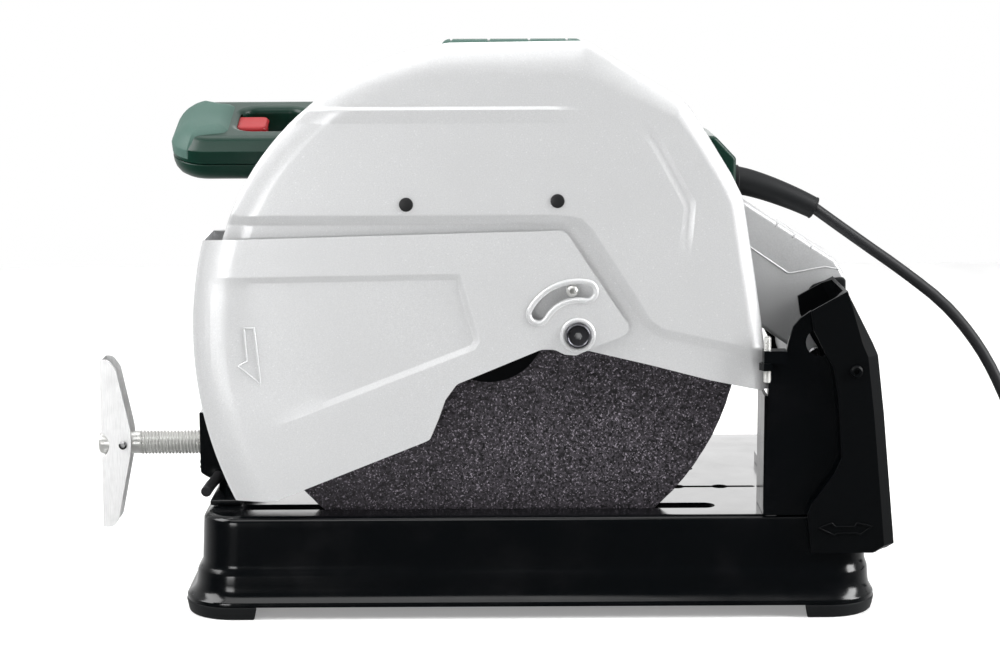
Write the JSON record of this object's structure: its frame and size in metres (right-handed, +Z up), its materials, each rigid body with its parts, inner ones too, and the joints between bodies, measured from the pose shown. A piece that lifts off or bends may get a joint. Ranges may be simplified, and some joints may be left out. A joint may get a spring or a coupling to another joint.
{
  "type": "abrasive chop saw",
  "caption": "Bench saw with an abrasive disc on a tilting head, a fixed and a swinging guard, a D-shaped handle, a screw vise and a spark guard on a pressed base.",
  "frame": {"origin": "middle of the saw's footprint on the ground, without the free cord", "axes": "+X from the operator's handle and vise handle towards the spark guard, +Y from the disc towards the motor, +Z up"},
  "size_m": [0.8782, 0.306, 0.401],
  "materials": {
    "silver_paint": "fine silver texture paint on steel sheet",
    "silver_casting": "silver paint on an aluminium casting",
    "black_paint": "glossy black paint on steel",
    "green_plastic": "dark green moulded plastic",
    "red_plastic": "red moulded plastic",
    "abrasive": "dark bonded abrasive grit",
    "zinc": "bright zinc plating on steel",
    "steel": "plain machined steel",
    "rubber": "black rubber",
    "copper": "copper",
    "black_plastic": "black moulded plastic"
  },
  "bodies": {
    "saw": {"base_plate": "black_paint", "foot_near_left": "rubber", "foot_near_right": "rubber", "foot_far_left": "rubber", "foot_far_right": "rubber", "spark_chute": "black_paint", "depth_stop_screw": "zinc", "depth_stop_nut": "black_paint", "tilt_bracket": "black_paint", "tilt_shaft": "steel", "return_spring": "steel", "fence_bolt_near": "zinc", "vise_bracket": "black_paint", "cord_lead": "rubber", "cord_coil": "rubber", "plug": "black_plastic"},
    "head": {"upper_guard": "silver_paint", "guard_back_plate": "black_paint", "guard_screw_front": "black_plastic", "guard_screw_rear": "black_plastic", "guard_pivot_bolt": "zinc", "guard_guide_pin": "zinc", "arm": "silver_casting", "gearbox_housing": "silver_casting", "spindle_bearing": "steel", "motor_housing": "green_plastic", "motor_end_cap": "green_plastic", "brush_cap_front": "black_plastic", "brush_cap_rear": "black_plastic", "stator": "steel", "motor_bearing": "steel", "handle_upper_shell": "green_plastic", "handle_lower_shell": "green_plastic", "switch_housing": "green_plastic", "switch_module": "black_plastic", "carry_handle": "green_plastic", "strain_relief": "rubber"},
    "swing_guard": {"lower_guard": "silver_paint"},
    "disc": {"spindle": "steel", "spindle_gear": "steel", "inner_flange": "zinc", "cutting_disc": "abrasive", "outer_flange": "black_paint", "arbor_bolt": "zinc"},
    "rotor": {"motor_shaft": "steel", "armature": "steel", "commutator": "copper", "cooling_fan": "black_plastic"},
    "trigger_slide": {"trigger": "red_plastic"},
    "spark_guard_slide": {"spark_guard": "black_paint", "spark_guard_screw": "black_paint"},
    "lock_pin_slide": {"lock_pin": "red_plastic"},
    "fence_swivel": {"fence": "silver_paint", "fence_bolt_far": "zinc"},
    "vise_carriage": {"vise_jaw": "black_paint"},
    "vise_screw": {"vise_spindle": "zinc", "wing_handle": "zinc", "wing_pin": "steel"},
    "release_lever": {"vise_release_lever": "black_paint"}
  },
  "joints": [
    {"name": "head_tilt", "type": "hinge", "parent": "saw", "child": "head", "pos_m": [0.241, -0.0235, 0.172], "axis": [0, 1, 0], "range_deg": [0, 45], "deforming": ["cord_lead"]},
    {"name": "guard_swing", "type": "hinge", "parent": "head", "child": "swing_guard", "pos_m": [0.065, -0.1085, 0.201], "axis": [0, 1, 0], "range_deg": [0, 52]},
    {"name": "disc_spin", "type": "hinge", "parent": "head", "child": "disc", "pos_m": [0.003, -0.1085, 0.203], "axis": [0, -1, 0], "continuous": true},
    {"name": "rotor_spin", "type": "hinge", "parent": "head", "child": "rotor", "pos_m": [0.0245, 0.0415, 0.2459], "axis": [0, -1, 0], "continuous": true},
    {"name": "trigger_pull", "type": "slide", "parent": "head", "child": "trigger_slide", "axis": [-1, 0, 0], "range_m": [0, 0.006], "stiffness_N_per_m": 400, "springref_m": -0.003},
    {"name": "spark_guard_move", "type": "slide", "parent": "saw", "child": "spark_guard_slide", "axis": [1, 0, 0], "range_m": [0, 0.03]},
    {"name": "lock_pin_pull", "type": "slide", "parent": "saw", "child": "lock_pin_slide", "axis": [0, 1, 0], "range_m": [0, 0.012]},
    {"name": "fence_turn", "type": "hinge", "parent": "saw", "child": "fence_swivel", "pos_m": [0.106, -0.0685, 0.072], "axis": [0, 0, -1], "range_deg": [0, 30]},
    {"name": "vise_slide", "type": "slide", "parent": "saw", "child": "vise_carriage", "axis": [1, 0, 0], "range_m": [-0.1301, 0.0451]},
    {"name": "vise_turn", "type": "hinge", "parent": "vise_carriage", "child": "vise_screw", "pos_m": [-0.018, -0.0335, 0.104], "axis": [1, 0, 0], "range_deg": [-18720, 6480]},
    {"name": "release_lever_turn", "type": "hinge", "parent": "saw", "child": "release_lever", "pos_m": [-0.198, -0.0585, 0.082], "axis": [0, 1, 0], "range_deg": [0, 60]}
  ],
  "couplings": [
    {"joint": "rotor_spin", "follows": "disc_spin", "ratio": -3.3333},
    {"joint": "vise_slide", "follows": "vise_turn", "m_per_rad": 0.00039789}
  ]
}
